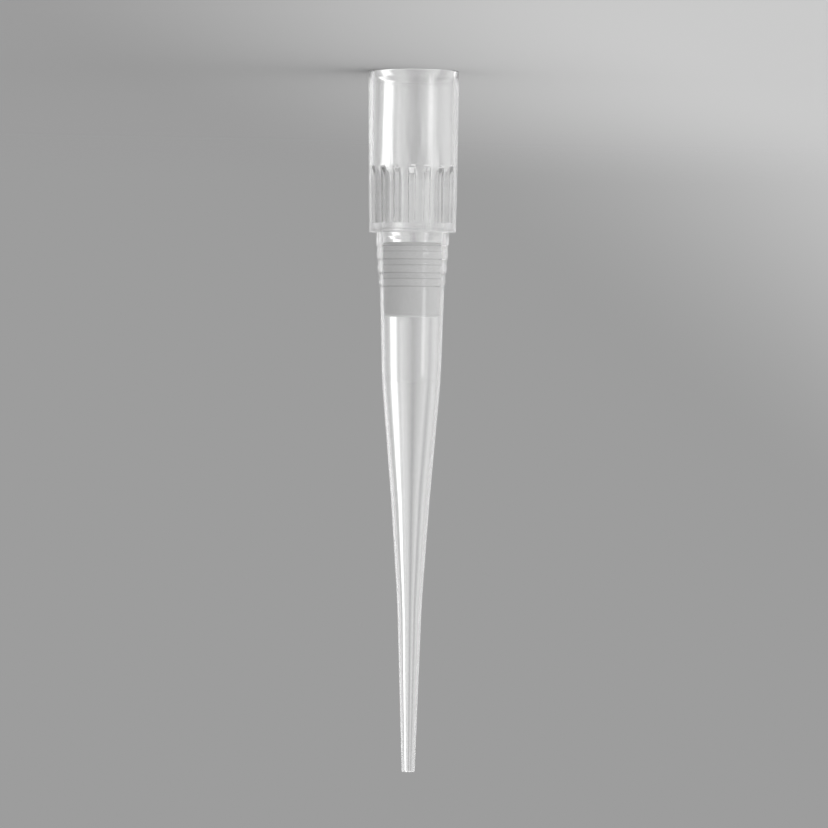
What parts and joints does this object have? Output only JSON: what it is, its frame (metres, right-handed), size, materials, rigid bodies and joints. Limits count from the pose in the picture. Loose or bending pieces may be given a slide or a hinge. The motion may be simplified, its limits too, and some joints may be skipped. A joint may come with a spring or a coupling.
{
  "type": "pipette tip",
  "caption": "Clear tapered filter tip for a hand pipette, with a wide ribbed collar, a fine nozzle and a porous plug pressed inside.",
  "frame": {"origin": "centre of the collar's rim, in the rim's plane", "axes": "+Z along the tip's axis, from the collar's rim to the nozzle; the tip stands on the rim, nozzle up"},
  "size_m": [0.0076, 0.0076, 0.059],
  "materials": {
    "clear_polypropylene": "clear moulded polypropylene, glossy with a faint haze",
    "porous_polyethylene": "white sintered polyethylene, matte and finely grained"
  },
  "bodies": {
    "root": {"tip_body": "clear_polypropylene", "filter_plug": "porous_polyethylene"}
  },
  "joints": []
}
